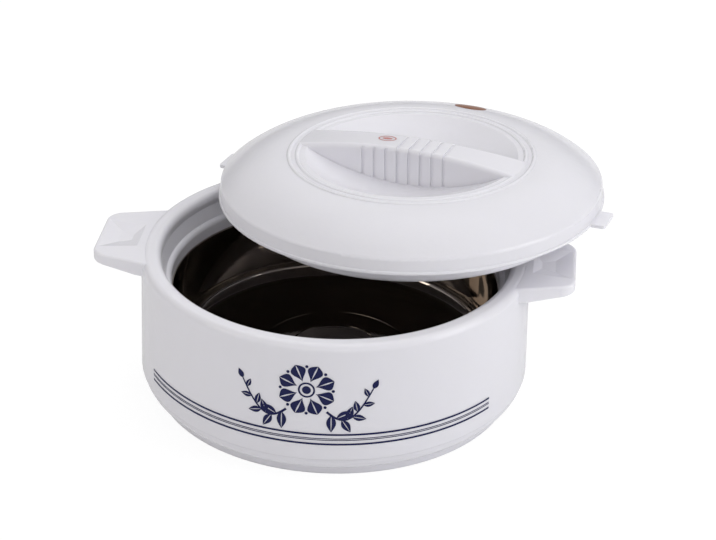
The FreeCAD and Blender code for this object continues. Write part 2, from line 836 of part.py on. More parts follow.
def liner_top():
    """Upper side of the lid's underside panel, from the flange to the axis."""
    return [
        (plug_top_radius - wall, wall),
        (plug_radius - wall, plug_bottom + wall + plug_inner_round),
        (plug_radius - wall - plug_inner_round, plug_bottom + wall, -plug_inner_round),
        (plug_dish_radius, plug_bottom + wall),
        (plug_dish_radius - wall, plug_under + wall),
        (ON_AXIS, plug_under + wall),
    ]


def make_lid_liner():
    """Underside panel: a flange that rests on the pot's rim and a shallow plug
    that reaches into the mouth."""
    liner = new_body("lid_liner")
    flange_radius = skirt_radius - fit_gap
    turned(liner, "flange_and_plug", [
        (ON_AXIS, plug_under),
        (plug_dish_radius - wall, plug_under),
        (plug_dish_radius, plug_bottom),
        (plug_radius - plug_round, plug_bottom),
        (plug_radius, plug_bottom + plug_round, plug_round),
        (plug_top_radius, LIP_LEVEL),
        (flange_radius, LIP_LEVEL),
        (flange_radius, wall),
    ] + liner_top())
    hole = box_corners(ON_AXIS, stopper_hole, plug_under - overrun, plug_under + overrun)
    turned(liner, "filling_hole", hole, cut=True)
    return liner


def make_lid_foam():
    """Insulation between the lid's cover and its underside panel."""
    foam = new_body("lid_foam")
    inside = dome_inside()[:-1]
    turned(foam, "poured_foam",
           backwards(liner_top()) + [(skirt_radius - fit_gap, wall)] + backwards(inside))
    extruded(foam, "foam_in_grip", "XZ", [grip_core()], (grip_half - wall) * 2, both_ways=True)
    return foam


# ------------------------------------------------------------ the assembly


def finished(body):
    """Checks a piece: one valid solid with a volume."""
    doc.recompute()
    shape = body.Shape
    if shape.isNull() or not shape.isValid():
        raise RuntimeError(f"{body.Label}: not a valid shape")
    if len(shape.Solids) != 1 or shape.Volume <= 0:
        raise RuntimeError(f"{body.Label}: {len(shape.Solids)} solids")
    return body


def make_pot():
    """The pieces of the pot, each in its place on the table."""
    return [
        make_outer_shell(),
        make_rim_collar(),
        make_steel_bowl(),
        make_body_foam(),
        make_base_cover(),
        make_stopper("base_plug", base_under),
    ]


def make_lid():
    """The pieces of the lid, in the lid's own frame and laid where it rests."""
    pieces = [
        make_lid_cover(),
        make_lid_liner(),
        make_lid_foam(),
        make_stopper("lid_plug", plug_under),
    ]
    for piece in pieces:
        piece.setExpression("Placement", LID_PLACE)
    return pieces


def main():
    """Builds every piece and writes one STEP file for each."""
    pieces = [finished(piece) for piece in make_pot() + make_lid()]
    os.makedirs("parts", exist_ok=True)
    for piece in pieces:
        piece.Shape.exportStep(f"parts/{piece.Label}.step")
        print(f"{piece.Label}: {piece.Shape.Volume:.0f} mm3")


main()
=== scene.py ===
import math

import bmesh
import bpy
import numpy as np
from mathutils import Matrix, Vector


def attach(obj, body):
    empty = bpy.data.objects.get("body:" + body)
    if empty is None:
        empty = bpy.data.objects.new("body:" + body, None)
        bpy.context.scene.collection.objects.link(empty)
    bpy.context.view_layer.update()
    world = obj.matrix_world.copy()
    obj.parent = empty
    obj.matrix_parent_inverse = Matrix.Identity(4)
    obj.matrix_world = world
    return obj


bl_info = {
    "name": "Insulated Bread Casserole",
    "version": (1, 0, 0),
    "blender": (4, 5, 0),
    "location": "View3D > Sidebar > Casserole",
    "description": "Finishes a foam-filled white casserole with a steel bowl and prints its front",
    "category": "Object",
}

MM = 0.001
WHITE = (1.0, 1.0, 1.0, 1.0)

# All sizes are in metres. The wall's outside is a cone between these two heights.
WALL_FOOT_RADIUS, WALL_FOOT_LEVEL = 122.6 * MM, 15.8 * MM
WALL_TOP_RADIUS, WALL_TOP_LEVEL = 121.0 * MM, 87.6 * MM

# The lid's flank is an arc that leaves the dome's crown level, in the lid's own frame.
FLANK_START, FLANK_TOP, FLANK_CURVE = 79.1 * MM, 26.1 * MM, 63.97 * MM
# The grip's top is an arc along the grip.
GRIP_TOP, GRIP_CURVE = 33.5 * MM, 406.5 * MM
# How the lid lies on the rim, in degrees.
LID_YAW, LID_PITCH, LID_ROLL = -16.0, -2.3, -1.6

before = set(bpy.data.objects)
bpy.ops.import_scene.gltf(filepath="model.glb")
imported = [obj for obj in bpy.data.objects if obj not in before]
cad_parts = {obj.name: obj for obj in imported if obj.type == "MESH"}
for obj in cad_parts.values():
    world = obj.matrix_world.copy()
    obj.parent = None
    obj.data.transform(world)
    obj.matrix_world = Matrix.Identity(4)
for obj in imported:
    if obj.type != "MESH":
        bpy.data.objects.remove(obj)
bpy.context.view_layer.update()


def linear(code):
    """Scene-linear colour of a six-digit hex code, by the sRGB curve taken back."""
    shares = [int(code[i:i + 2], 16) / 255 for i in (0, 2, 4)]
    return tuple(s / 12.92 if s <= 0.04045 else ((s + 0.055) / 1.055) ** 2.4 for s in shares)


def colour_setting(label, about, code):
    """A colour that the user can change."""
    return bpy.props.FloatVectorProperty(
        name=label, description=about, subtype="COLOR", size=3, min=0.0, max=1.0,
        default=linear(code))


def length_setting(label, about, default):
    """A length in metres that the user can change."""
    return bpy.props.FloatProperty(
        name=label, description=about, unit="LENGTH", subtype="DISTANCE", precision=5,
        default=default)


def angle_setting(label, about, degrees):
    """An angle that the user can change."""
    return bpy.props.FloatProperty(
        name=label, description=about, unit="ROTATION", subtype="ANGLE",
        default=math.radians(degrees))


def share_setting(label, about, default, high=1.0):
    """A plain number from nought up that the user can change."""
    return bpy.props.FloatProperty(
        name=label, description=about, min=0.0, max=high, precision=4, default=default)


# --------------------------------------------------------------- settings


class PlasticSettings(bpy.types.PropertyGroup):
    """Glossy white polypropylene of every moulded piece"""
    colour: colour_setting("Colour", "Colour of the moulded plastic", "e3e2e8")
    clouding: share_setting("Clouding", "How much the colour drifts over a hand's width", 0.03)
    gloss: share_setting("Roughness", "Roughness of the moulded skin", 0.2)
    smudge: share_setting("Smudges", "How much handling changes the roughness", 0.12)
    skin_depth: length_setting("Skin Depth", "Depth of the moulded skin's ripple", 0.00006)
    milkiness: share_setting("Milkiness", "How much light spreads inside the plastic", 0.35)
    milk_depth: length_setting("Milk Depth", "How far light spreads inside the plastic", 0.005)


class SteelSettings(bpy.types.PropertyGroup):
    """Mirror-bright pressed steel of the bowl"""
    # Painted shade: the steel's colour is darker than polished steel is, standing in for the dark
    # room that the bowl mirrors.
    colour: colour_setting("Colour", "Colour of the polished steel", "96928f")
    # Painted reflection: this warm colour, mixed in over patches, stands in for warm things that
    # the polished bowl mirrors.
    warm: colour_setting("Warm Painted Reflection", "Colour where the oven heat has tinted the steel", "91867b")
    gloss: share_setting("Roughness", "Roughness of the polish", 0.03)
    smudge: share_setting("Smudges", "How much finger marks dull the polish", 0.05)
    line_depth: length_setting("Line Depth", "Depth of the lines left by pressing", 0.00001)


class FoamSettings(bpy.types.PropertyGroup):
    """Poured insulation inside the pot and the lid"""
    colour: colour_setting("Colour", "Colour of the foam", "e6d8ae")
    # Painted shade: the colour down in the pores stands in for the shade in their hollows.
    pore: colour_setting("Painted Pore Shade", "Colour down in the foam's pores", "b59c62")
    pore_depth: length_setting("Pore Depth", "Depth of the foam's open pores", 0.0006)


class PrintSettings(bpy.types.PropertyGroup):
    """Ink lines and flower printed on the front of the shell"""
    ink: colour_setting("Ink", "Colour of the printed ink", "0a1246")
    film_low: length_setting("Film Foot", "Underside of the ink above the wall", 0.00004)
    film_high: length_setting("Film Top", "Top of the ink above the wall", 0.00009)
    line_middle: length_setting("Lines' Height", "Middle of the lines above the table", 0.0297)
    line_spread: length_setting("Lines' Spread", "Outer lines from the middle", 0.0033)
    line_width: length_setting("Outer Line", "Width of each outer line", 0.00125)
    hair_spread: length_setting("Hairlines' Spread", "Inner lines from the middle", 0.0005)
    hair_width: length_setting("Hairline", "Width of each inner line", 0.0005)
    lines_left: angle_setting("Lines' Left End", "Where the lines start, from the front", -58.5)
    lines_right: angle_setting("Lines' Right End", "Where the lines stop, from the front", 56.2)
    flower_turn: angle_setting("Flower's Turn", "The flower's middle, from the front", -1.3)
    flower_height: length_setting("Flower's Height", "The flower's middle above the table", 0.0625)


class MarkSettings(bpy.types.PropertyGroup):
    """Plain ovals printed on the lid"""
    grip_ink: colour_setting("Grip Mark", "Colour of the small oval ring on the grip", "b9706a")
    flank_ink: colour_setting("Flank Mark", "Colour of the plain oval behind the grip", "824c26")
    flank_radius: length_setting("Flank Mark's Radius", "Its middle from the lid's axis", 0.093)
    flank_turn: angle_setting("Flank Mark's Turn", "Its middle, from the lid's grip", 85.4)


class StageSettings(bpy.types.PropertyGroup):
    """Floor, lamps and camera"""
    turn: angle_setting("Camera Turn", "Camera's turn round the object, from the front", 5.4)
    elevation: angle_setting("Elevation", "Camera's height above the horizon", 28.508)
    roll: angle_setting("Roll", "Camera's turn about its own axis", 1.424)
    distance: length_setting("Distance", "Camera from the point that it looks at", 1.3)
    aim_height: length_setting("Aim Height", "Point that it looks at, above the table", 0.06644)
    aim_aside: length_setting("Aim Aside", "How far it looks to the right of that point", 0.013918)
    aim_above: length_setting("Aim Above", "How far it looks above that point", 0.009134)
    lens: bpy.props.FloatProperty(
        name="Lens", description="Focal length on a 36 mm sensor, millimetres", default=103.86)
    floor: colour_setting("Floor", "Colour of the floor", "f4f4f5")
    horizon: share_setting("Horizon", "Brightness of the room at eye level", 0.0, 4.0)
    ceiling: share_setting("Ceiling", "Brightness of the room above", 0.56, 4.0)


SETTINGS = {
    "casserole_plastic": PlasticSettings,
    "casserole_steel": SteelSettings,
    "casserole_foam": FoamSettings,
    "casserole_print": PrintSettings,
    "casserole_marks": MarkSettings,
    "casserole_stage": StageSettings,
}


# ---------------------------------------------------------- shader helpers


def add(tree, kind, **values):
    """A node in a tree. Keys that name a socket set its value; the others set a property."""
    made = tree.nodes.new(kind)
    sockets = {s.name.lower().replace(" ", "_"): s for s in made.inputs}
    for key, value in values.items():
        if key in sockets:
            sockets[key].default_value = value
        else:
            setattr(made, key, value)
    return made


def join(tree, source, target):
    """Links an output socket to an input socket."""
    tree.links.new(source, target)


def effect_group(name, inputs, outputs):
    """An empty node group with named sockets, and its input and output nodes."""
    tree = bpy.data.node_groups.new(name, "ShaderNodeTree")
    for label, kind in inputs:
        tree.interface.new_socket(label, in_out="INPUT", socket_type=kind)
    for label, kind in outputs:
        tree.interface.new_socket(label, in_out="OUTPUT", socket_type=kind)
    return tree, tree.nodes.new("NodeGroupInput"), tree.nodes.new("NodeGroupOutput")


def math_node(tree, operation, first, second=0.0, clamp=False):
    """A step of arithmetic on one or two values, each a socket or a number."""
    made = add(tree, "ShaderNodeMath", operation=operation, use_clamp=clamp)
    for slot, value in zip(made.inputs, (first, second)):
        if isinstance(value, (int, float)):
            slot.default_value = value
        else:
            join(tree, value, slot)
    return made.outputs[0]


# The Mix node's sockets for colours, which share their names with its other kinds.
MIX_FIRST, MIX_SECOND, MIX_RESULT = 6, 7, 2


def mixed(tree, how, factor, first, second):
    """Two colours mixed, each a socket or a colour; the factor is a socket or a number."""
    made = add(tree, "ShaderNodeMix", data_type="RGBA", blend_type=how)
    pairs = (("Factor", factor), (MIX_FIRST, first), (MIX_SECOND, second))
    for key, value in pairs:
        if isinstance(value, (float, tuple)):
            made.inputs[key].default_value = value
        else:
            join(tree, value, made.inputs[key])
    return made.outputs[MIX_RESULT]


def noise_at(tree, place, scale, detail=2.0, roughness=0.5):
    """Noise at a place, its scale in waves per metre."""
    noise = add(tree, "ShaderNodeTexNoise", scale=scale, detail=detail, roughness=roughness)
    join(tree, place, noise.inputs["Vector"])
    return noise.outputs["Fac"]


def object_noise(tree, scale, **character):
    """Noise on the piece's own coordinates."""
    place = add(tree, "ShaderNodeTexCoord").outputs["Object"]
    return noise_at(tree, place, scale, **character)


def finger_marks(tree, scale):
    """Noise of handling: broad marks with ragged edges."""
    return object_noise(tree, scale, detail=4.0, roughness=0.6)


# Waves per metre of the noise behind each finish.
CLOUD_WAVES, TOUCH_WAVES, RIPPLE_WAVES = 11.0, 46.0, 260.0
WARM_REFLECTION_WAVES, RUB_WAVES, LINE_WAVES = 14.0, 30.0, 900.0
PORE_WAVES, FOAM_GRAIN_WAVES = 420.0, 900.0
COVER_WAVES, INK_GRAIN_WAVES = 120.0, 2600.0

# Smudges on steel keep to where their noise, raised to this power, is high.
RUB_SHARPNESS = 3.0
# Colour that shows where ink is thin, then the ink's roughness, what its grain adds to that and
# how deep the grain is.
UNDER_INK = (0.8, 0.8, 0.86, 1.0)
INK_ROUGHNESS, INK_GRAIN, INK_DEPTH = 0.26, 0.08, 0.00001
# How unevenly each print covers.
LINE_UNEVENNESS, FLOWER_UNEVENNESS = 0.02, 0.01
GRIP_MARK_UNEVENNESS, FLANK_MARK_UNEVENNESS = 0.2, 0.1


def moulded_skin():
    """Effect of injection moulding: colour that drifts slowly, a fine ripple, and smudges."""
    tree, given, out = effect_group("moulded_skin", [
        ("Colour", "NodeSocketColor"), ("Clouding", "NodeSocketFloat"),
        ("Roughness", "NodeSocketFloat"), ("Smudges", "NodeSocketFloat"),
    ], [
        ("Colour", "NodeSocketColor"), ("Roughness", "NodeSocketFloat"),
        ("Height", "NodeSocketFloat"),
    ])
    drift = object_noise(tree, CLOUD_WAVES)
    loss = math_node(tree, "MULTIPLY", drift, given.outputs["Clouding"])
    light = math_node(tree, "SUBTRACT", 1.0, loss)
    shade = add(tree, "ShaderNodeCombineColor")
    for channel in ("Red", "Green", "Blue"):
        join(tree, light, shade.inputs[channel])
    coloured = mixed(tree, "MULTIPLY", 1.0, given.outputs["Colour"], shade.outputs["Color"])
    join(tree, coloured, out.inputs["Colour"])
    touch = math_node(tree, "SUBTRACT", finger_marks(tree, TOUCH_WAVES), 0.5)
    touch = math_node(tree, "MULTIPLY", touch, given.outputs["Smudges"])
    rough = math_node(tree, "ADD", given.outputs["Roughness"], touch, clamp=True)
    join(tree, rough, out.inputs["Roughness"])
    ripple = object_noise(tree, RIPPLE_WAVES, detail=1.0)
    join(tree, ripple, out.inputs["Height"])
    return tree


def pressed_sheet():
    """Effect of pressing and polishing round an axis: fine lines that follow the profile, soft
    smudges, and warm patches in the colour that are a painted reflection of warm things nearby."""
    tree, given, out = effect_group("pressed_sheet", [
        ("Colour", "NodeSocketColor"), ("Painted Warm Reflection", "NodeSocketColor"),
        ("Roughness", "NodeSocketFloat"), ("Smudges", "NodeSocketFloat"),
    ], [
        ("Colour", "NodeSocketColor"), ("Roughness", "NodeSocketFloat"),
        ("Height", "NodeSocketFloat"),
    ])
    place = add(tree, "ShaderNodeTexCoord").outputs["Object"]
    parts = add(tree, "ShaderNodeSeparateXYZ")
    join(tree, place, parts.inputs["Vector"])
    squares = [math_node(tree, "MULTIPLY", parts.outputs[a], parts.outputs[a]) for a in "XY"]
    reach = math_node(tree, "SQRT", math_node(tree, "ADD", *squares))
    profile = add(tree, "ShaderNodeCombineXYZ")
    join(tree, reach, profile.inputs["X"])
    join(tree, parts.outputs["Z"], profile.inputs["Y"])
    lines = noise_at(tree, profile.outputs["Vector"], LINE_WAVES)
    join(tree, lines, out.inputs["Height"])
    # Painted reflection: warm patches mixed into the steel's colour.
    warm_reflection_patches = object_noise(tree, WARM_REFLECTION_WAVES, detail=3.0)
    coloured = mixed(tree, "MIX", warm_reflection_patches, given.outputs["Colour"], given.outputs["Painted Warm Reflection"])
    join(tree, coloured, out.inputs["Colour"])
    touch = math_node(tree, "POWER", finger_marks(tree, RUB_WAVES), RUB_SHARPNESS)
    touch = math_node(tree, "MULTIPLY", touch, given.outputs["Smudges"])
    rough = math_node(tree, "ADD", given.outputs["Roughness"], touch, clamp=True)
    join(tree, rough, out.inputs["Roughness"])
    return tree


def open_pores():
    """Effect of poured foam: round pores with a fine grain, and painted shade that darkens each
    pore towards its middle.
    """
    tree, given, out = effect_group("open_pores", [
        ("Colour", "NodeSocketColor"), ("Painted Pore Shade", "NodeSocketColor"),
        ("Pore Scale", "NodeSocketFloat"),
    ], [
        ("Colour", "NodeSocketColor"), ("Height", "NodeSocketFloat"),
    ])
    place = add(tree, "ShaderNodeTexCoord").outputs["Object"]
    cells = add(tree, "ShaderNodeTexVoronoi", feature="SMOOTH_F1")
    join(tree, place, cells.inputs["Vector"])
    join(tree, given.outputs["Pore Scale"], cells.inputs["Scale"])
    # Painted shade: each pore darkens towards its middle.
    off_middle = cells.outputs["Distance"]
    coloured = mixed(tree, "MIX", off_middle, given.outputs["Painted Pore Shade"],
                     given.outputs["Colour"])
    join(tree, coloured, out.inputs["Colour"])
    grain = object_noise(tree, FOAM_GRAIN_WAVES, detail=3.0)
    join(tree, math_node(tree, "MULTIPLY", off_middle, grain), out.inputs["Height"])
    return tree


def thin_ink():
    """Effect of screen printing: ink that covers a little unevenly, with a fine grain."""
    tree, given, out = effect_group("thin_ink", [
        ("Colour", "NodeSocketColor"), ("Unevenness", "NodeSocketFloat"),
        ("Roughness", "NodeSocketFloat"),
    ], [
        ("Colour", "NodeSocketColor"), ("Roughness", "NodeSocketFloat"),
        ("Height", "NodeSocketFloat"),
    ])
    cover = object_noise(tree, COVER_WAVES, detail=3.0)
    paler = math_node(tree, "MULTIPLY", cover, given.outputs["Unevenness"])
    coloured = mixed(tree, "MIX", paler, given.outputs["Colour"], UNDER_INK)
    join(tree, coloured, out.inputs["Colour"])
    grain = object_noise(tree, INK_GRAIN_WAVES, detail=1.0)
    duller = math_node(tree, "MULTIPLY", grain, INK_GRAIN)
    rough = math_node(tree, "ADD", given.outputs["Roughness"], duller, clamp=True)
    join(tree, rough, out.inputs["Roughness"])
    join(tree, grain, out.inputs["Height"])
    return tree


def finished_material(name, effect, values, bump, **shader_values):
    """A Principled material whose changing colour, roughness and bump come from an effect group
    with the values given. Bump is the relief's depth."""
    material = bpy.data.materials.new(name)
    material.use_nodes = True
    tree = material.node_tree
    tree.nodes.clear()
    shader = add(tree, "ShaderNodeBsdfPrincipled", **shader_values)
    source = add(tree, "ShaderNodeGroup", node_tree=effect)
    for label, value in values.items():
        source.inputs[label].default_value = value
    join(tree, source.outputs["Colour"], shader.inputs["Base Color"])
    if "Roughness" in source.outputs:
        join(tree, source.outputs["Roughness"], shader.inputs["Roughness"])
    relief = add(tree, "ShaderNodeBump", strength=1.0, distance=bump)
    join(tree, source.outputs["Height"], relief.inputs["Height"])
    join(tree, relief.outputs["Normal"], shader.inputs["Normal"])
    output = add(tree, "ShaderNodeOutputMaterial")
    join(tree, shader.outputs["BSDF"], output.inputs["Surface"])
    return material


def solid(colour):
    """A colour setting as a socket takes it."""
    return (*colour, 1.0)


def nodes_in(slot):
    """The CAD nodes that the packed record finishes in one slot."""
    return [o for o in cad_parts.values() if o.data.materials[0].name.split(".")[0] == slot]


def dress(pieces, material):
    """Puts a material in every slot of each piece."""
    for piece in pieces:
        for index in range(len(piece.data.materials)):
            piece.data.materials[index] = material


# ------------------------------------------------------------ printed film


def film(name, patches, place, low, high, material, body):
    """A thin closed film of ink. Each patch is a grid of points in the print's own plane, across
    and up. Place puts a point on its surface at a lift; each grid is placed at the film's
    underside and at its top, and the two are joined round the grid's edge."""
    points, faces, count = [], [], 0
    for across, up in patches:
        rows, columns = across.shape
        size = rows * columns
        index = np.arange(size).reshape(rows, columns) + count
        under = np.stack([index[:-1, :-1], index[:-1, 1:], index[1:, 1:], index[1:, :-1]], -1)
        above = under[..., ::-1] + size
        edge = np.concatenate([index[0, :-1], index[:-1, -1], index[-1, :0:-1], index[:0:-1, 0]])
        after = np.roll(edge, -1)
        rim = np.stack([edge, after, after + size, edge + size], -1)
        faces += [under.reshape(-1, 4), above.reshape(-1, 4), rim]
        points += [place(across, up, low).reshape(-1, 3), place(across, up, high).reshape(-1, 3)]
        count += 2 * size
    mesh = bpy.data.meshes.new(name)
    mesh.from_pydata(np.concatenate(points), [], np.concatenate(faces))
    shell = bmesh.new()
    shell.from_mesh(mesh)
    bmesh.ops.recalc_face_normals(shell, faces=shell.faces)
    shell.to_mesh(mesh)
    shell.free()
    mesh.materials.append(material)
    piece = bpy.data.objects.new(name, mesh)
    bpy.context.scene.collection.objects.link(piece)
    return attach(piece, body)


def on_wall(turn):
    """Places a point on the pot's wall: across is measured round the wall from the given turn,
    up from the table, and the wall's radius falls evenly with height."""
    fall = (WALL_FOOT_RADIUS - WALL_TOP_RADIUS) / (WALL_TOP_LEVEL - WALL_FOOT_LEVEL)

    def place(across, up, lift):
        radius = WALL_FOOT_RADIUS - fall * (up - WALL_FOOT_LEVEL)
        angle = turn + across / radius
        reach = radius + lift
        return np.stack([reach * np.sin(angle), -reach * np.cos(angle), up], -1)
    return place


def lid_frame():
    """The lid's own frame as it lies: its axes, turned as in the part, and its foot, the middle
    of the underside of the cover's box along those axes."""
    axes = np.array(Matrix.Rotation(math.radians(LID_YAW), 3, "Z")
                    @ Matrix.Rotation(math.radians(LID_PITCH), 3, "Y")
                    @ Matrix.Rotation(math.radians(LID_ROLL), 3, "X"))
    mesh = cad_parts["lid_cover"].data
    points = np.empty(len(mesh.vertices) * 3)
    mesh.vertices.foreach_get("co", points)
    own = points.reshape(-1, 3) @ axes
    low, high = own.min(0), own.max(0)
    foot = (low + high) / 2
    foot[2] = low[2]
    return axes, axes @ foot


def on_flank(radius, turn):
    """Places a point on the lid's flank round a middle given by radius and turn: across runs
    round the lid and up outwards, and the flank falls as a circle does."""
    axes, foot = lid_frame()

    def place(across, up, lift):
        reach = radius + up
        angle = turn - across / reach
        run = reach - FLANK_START
        drop = np.sqrt(FLANK_CURVE ** 2 - run ** 2)
        out = (FLANK_CURVE + lift) * run / FLANK_CURVE + FLANK_START
        level = FLANK_TOP - FLANK_CURVE + (FLANK_CURVE + lift) * drop / FLANK_CURVE
        own = np.stack([out * np.cos(angle), out * np.sin(angle), level], -1)
        return own @ axes.T + foot
    return place


def on_grip(along, aside):
    """Places a point on the grip's top round a middle: across runs along the grip, whose top is
    an arc, and up across it."""
    axes, foot = lid_frame()

    def place(across, up, lift):
        run = along + across
        level = GRIP_TOP - GRIP_CURVE + np.sqrt(GRIP_CURVE ** 2 - run ** 2) + lift
        own = np.stack([run, aside + up, level], -1)
        return own @ axes.T + foot
    return place


def steps(first, last, count):
    """Evenly spaced values as a column, for the first parameter of a grid."""
    return np.linspace(first, last, count)[:, None]


def across_steps(first, last, count):
    """Evenly spaced values as a row, for the second parameter of a grid."""
    return np.linspace(first, last, count)[None, :]


# Rows of points along a line, round an oval ring, along a leaf and along a stem. A ring stops just
# short of its start, and a leaf of its two tips, where it would have no width.
LINE_ROWS, RING_ROWS, LEAF_ROWS, STEM_ROWS = 241, 61, 14, 30
RING_END = 1.995 * math.pi
LEAF_START, LEAF_END = 0.015, 0.985


def band(left, right, level, width):
    """A straight band: the first parameter runs along it and the second across its width."""
    run = steps(left, right, LINE_ROWS)
    side = across_steps(-width / 2, width / 2, 3)
    return run + 0 * side, level + side + 0 * run


def disc(middle, half_wide, half_high, count=12):
    """A filled oval with no pole: a square grid drawn out to a circle, each coordinate times the
    root of one less half the other's square."""
    a, b = steps(-1, 1, count), across_steps(-1, 1, count)
    return (middle[0] + half_wide * a * np.sqrt(1 - b ** 2 / 2),
            middle[1] + half_high * b * np.sqrt(1 - a ** 2 / 2))


def oval_ring(middle, half_wide, half_high, width):
    """An oval ring: the first parameter is an angle and the second runs across the ring's width.
    Half width and half height, each with the second added, draw out its cosine and sine."""
    angle = steps(0.0, RING_END, RING_ROWS)
    side = across_steps(-width / 2, width / 2, 3)
    return (middle[0] + (half_wide + side) * np.cos(angle),
            middle[1] + (half_high + side) * np.sin(angle))


def leaf(root, angle, length, half_width, fullness, low=-1.0, high=1.0):
    """A leaf or petal: at a share of its length its half width is the half width times the sine
    of half a turn times that share raised to the fullness. Low and high limit the second
    parameter, which runs from edge to edge."""
    share = steps(LEAF_START, LEAF_END, LEAF_ROWS)
    across = across_steps(low, high, 5) * half_width * np.sin(math.pi * share ** fullness)
    along = length * share + 0 * across
    return (root[0] + along * math.cos(angle) - across * math.sin(angle),
            root[1] + along * math.sin(angle) + across * math.cos(angle))


# ---------------------------------------------------------------- pieces


# Refractive index of plastic and ink, and each one's level of shine, where 0.5 is what the index
# gives. Then how far red, green and blue spread in the plastic, as shares of its milk depth.
PLASTIC_IOR, PLASTIC_SHINE, INK_SHINE = 1.49, 0.35, 0.2
MILK_SPREAD = (1.0, 1.0, 0.9)
FOAM_ROUGHNESS = 0.9


class CASSEROLE_OT_mould_plastic(bpy.types.Operator):
    """Gives every white moulded piece its glossy plastic"""
    bl_idname = "casserole.mould_plastic"
    bl_label = "Mould White Plastic"

    def execute(self, context):
        chosen = context.scene.casserole_plastic
        material = finished_material("white_moulded_plastic", moulded_skin(), {
            "Colour": solid(chosen.colour), "Clouding": chosen.clouding,
            "Roughness": chosen.gloss, "Smudges": chosen.smudge,
        }, chosen.skin_depth, ior=PLASTIC_IOR, specular_ior_level=PLASTIC_SHINE,
            subsurface_weight=chosen.milkiness, subsurface_scale=chosen.milk_depth,
            subsurface_radius=MILK_SPREAD)
        dress(nodes_in("white_plastic"), material)
        return {"FINISHED"}


class CASSEROLE_OT_polish_steel(bpy.types.Operator):
    """Gives the bowl its mirror-bright pressed steel"""
    bl_idname = "casserole.polish_steel"
    bl_label = "Polish Steel Bowl"

    def execute(self, context):
        chosen = context.scene.casserole_steel
        # The steel's colour holds painted shade for the dark room it mirrors, and its warm patches
        # are a painted reflection.
        material = finished_material("mirror_steel", pressed_sheet(), {
            "Colour": solid(chosen.colour), "Painted Warm Reflection": solid(chosen.warm),
            "Roughness": chosen.gloss, "Smudges": chosen.smudge,
        }, chosen.line_depth, metallic=1.0)
        dress(nodes_in("steel"), material)
        return {"FINISHED"}


class CASSEROLE_OT_pour_foam(bpy.types.Operator):
    """Gives the insulation inside the pot and the lid its open pores"""
    bl_idname = "casserole.pour_foam"
    bl_label = "Pour Foam"

    def execute(self, context):
        chosen = context.scene.casserole_foam
        material = finished_material("poured_foam", open_pores(), {
            "Colour": solid(chosen.colour), "Painted Pore Shade": solid(chosen.pore),
            "Pore Scale": PORE_WAVES,
        }, chosen.pore_depth, roughness=FOAM_ROUGHNESS)
        dress(nodes_in("foam"), material)
        return {"FINISHED"}


def ink_material(name, colour, unevenness):
    """Printed ink in one colour that covers as unevenly as asked."""
    effect = bpy.data.node_groups.get("thin_ink") or thin_ink()
    return finished_material(name, effect, {
        "Colour": solid(colour), "Unevenness": unevenness, "Roughness": INK_ROUGHNESS,
    }, INK_DEPTH, ior=PLASTIC_IOR, specular_ior_level=INK_SHINE)


class CASSEROLE_OT_print_lines(bpy.types.Operator):
    """Prints the two lines and two hairlines round the foot of the front"""
    bl_idname = "casserole.print_lines"
    bl_label = "Print Lines"

    def execute(self, context):
        chosen = context.scene.casserole_print
        bands = ((chosen.line_spread, chosen.line_width), (chosen.hair_spread, chosen.hair_width))
        left, right = chosen.lines_left * WALL_FOOT_RADIUS, chosen.lines_right * WALL_FOOT_RADIUS
        lines = [band(left, right, chosen.line_middle + side * spread, width)
                 for side in (1, -1) for spread, width in bands]
        film("print_lines", lines, on_wall(0.0), chosen.film_low, chosen.film_high,
             ink_material("navy_line_ink", chosen.ink, LINE_UNEVENNESS), "pot")
        return {"FINISHED"}


# The rosette, from its middle outwards. A petal is two halves with a slit between them.
PETALS = 8
EYE_RADIUS, EYE_RING_RADIUS, EYE_RING_WIDTH = 2.6 * MM, 4.5 * MM, 1.1 * MM
PETAL_ROOT, PETAL_LENGTH, PETAL_HALF_WIDTH = 5.9 * MM, 11.6 * MM, 4.6 * MM
PETAL_FULLNESS, PETAL_HALVES = 1.5, ((-1.0, -0.1), (0.1, 1.0))
DOT_REACH, DOT_RADIUS, DOT_ROWS = 15.6 * MM, 0.95 * MM, 7

# A sprig's stem: its start and reach to the side, its dip and rise, its foot below the rosette's
# middle, its half width and how much of that it loses, and the share of its run over which its
# heading is read to either side.
STEM_START, STEM_REACH, STEM_DIP, STEM_RISE = 12.0 * MM, 27.0 * MM, 8.0 * MM, 15.0 * MM
STEM_FOOT, STEM_HALF_WIDTH, STEM_THINNING = 14.0 * MM, 0.75 * MM, 0.35 * MM
STEM_PROBE = 0.01
# A sprig's leaves: shares of the stem where they leave it, lean from it in degrees, lengths, and
# half width as a share of the length; then the bud at its tip.
FIRST_LEAF, LEAF_SPACING, LEAF_LEAN = 0.1, 0.115, 52
LEAF_LENGTHS = [(11.5 - 0.75 * number) * MM for number in range(8)]
LEAF_HALF_WIDTH, LEAF_FULLNESS, LEAF_HALVES = 0.25, 0.85, ((-1.0, -0.12), (0.12, 1.0))
BUD_LENGTH, BUD_HALF_WIDTH, BUD_FULLNESS = 6.5 * MM, 1.8 * MM, 0.8


def outwards(middle, reach, angle):
    """The point at a reach and an angle from a middle."""
    return middle[0] + reach * math.cos(angle), middle[1] + reach * math.sin(angle)


def rosette(middle):
    """Petals round an eye, evenly turned, and a dot between each two."""
    patches = [disc(middle, EYE_RADIUS, EYE_RADIUS),
               oval_ring(middle, EYE_RING_RADIUS, EYE_RING_RADIUS, EYE_RING_WIDTH)]
    half_turn = math.pi / PETALS
    for number in range(PETALS):
        angle = 2 * half_turn * number + half_turn
        root = outwards(middle, PETAL_ROOT, angle)
        for low, high in PETAL_HALVES:
            patches.append(leaf(root, angle, PETAL_LENGTH, PETAL_HALF_WIDTH, PETAL_FULLNESS,
                                low, high))
        dot = outwards(middle, DOT_REACH, angle + half_turn)
        patches.append(disc(dot, DOT_RADIUS, DOT_RADIUS, DOT_ROWS))
    return patches


